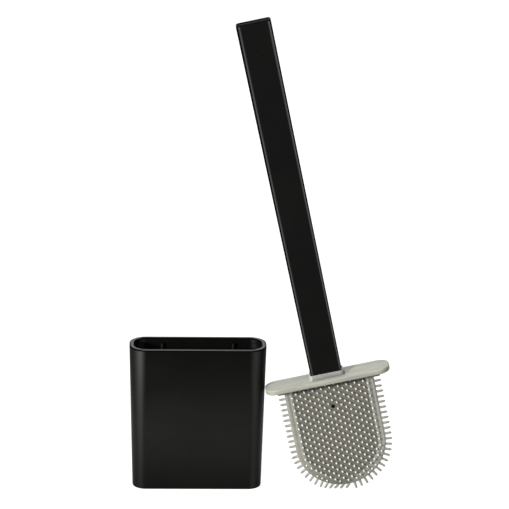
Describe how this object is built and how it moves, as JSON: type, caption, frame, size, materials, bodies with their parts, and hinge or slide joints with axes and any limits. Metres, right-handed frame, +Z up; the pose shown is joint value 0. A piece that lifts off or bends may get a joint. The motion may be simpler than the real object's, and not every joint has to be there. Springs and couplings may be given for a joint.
{
  "type": "toilet brush holder",
  "caption": "Slim open-topped toilet brush holder with a long-handled flat rubber brush standing beside it, its soft head flexing at the neck.",
  "frame": {"origin": "centre of the holder's base, on the surface it stands on", "axes": "+Z up, +X from the holder to the brush, -Y to the front"},
  "size_m": [0.2151, 0.0388, 0.3934],
  "materials": {
    "holder_plastic": "satin moulded",
    "handle_plastic": "satin moulded",
    "spine_plastic": "moulded",
    "soft_rubber": "translucent satin",
    "web_rubber": "translucent satin",
    "bristle_rubber": "translucent satin"
  },
  "bodies": {
    "holder": {"holder_shell": "holder_plastic"},
    "brush": {"handle_front": "handle_plastic", "handle_back": "handle_plastic", "spine_tang": "spine_plastic", "drip_collar": "soft_rubber"},
    "head": {"head_core": "spine_plastic", "head_border": "soft_rubber", "front_web": "web_rubber", "back_web": "web_rubber", "front_bristles": "bristle_rubber", "back_bristles": "bristle_rubber", "edge_bristles": "bristle_rubber", "foot_bristles": "bristle_rubber"}
  },
  "joints": [
    {"name": "brush_lift", "type": "slide", "parent": "holder", "child": "brush", "axis": [0.0872, 0, 0.9962], "range_m": [0, 0.15]},
    {"name": "head_flex", "type": "hinge", "parent": "brush", "child": "head", "pos_m": [0.10574, -0.01, 0.09282], "axis": [0.9763, 0, 0.2164], "range_deg": [-20, 20], "stiffness_Nm_per_rad": 0.6}
  ]
}
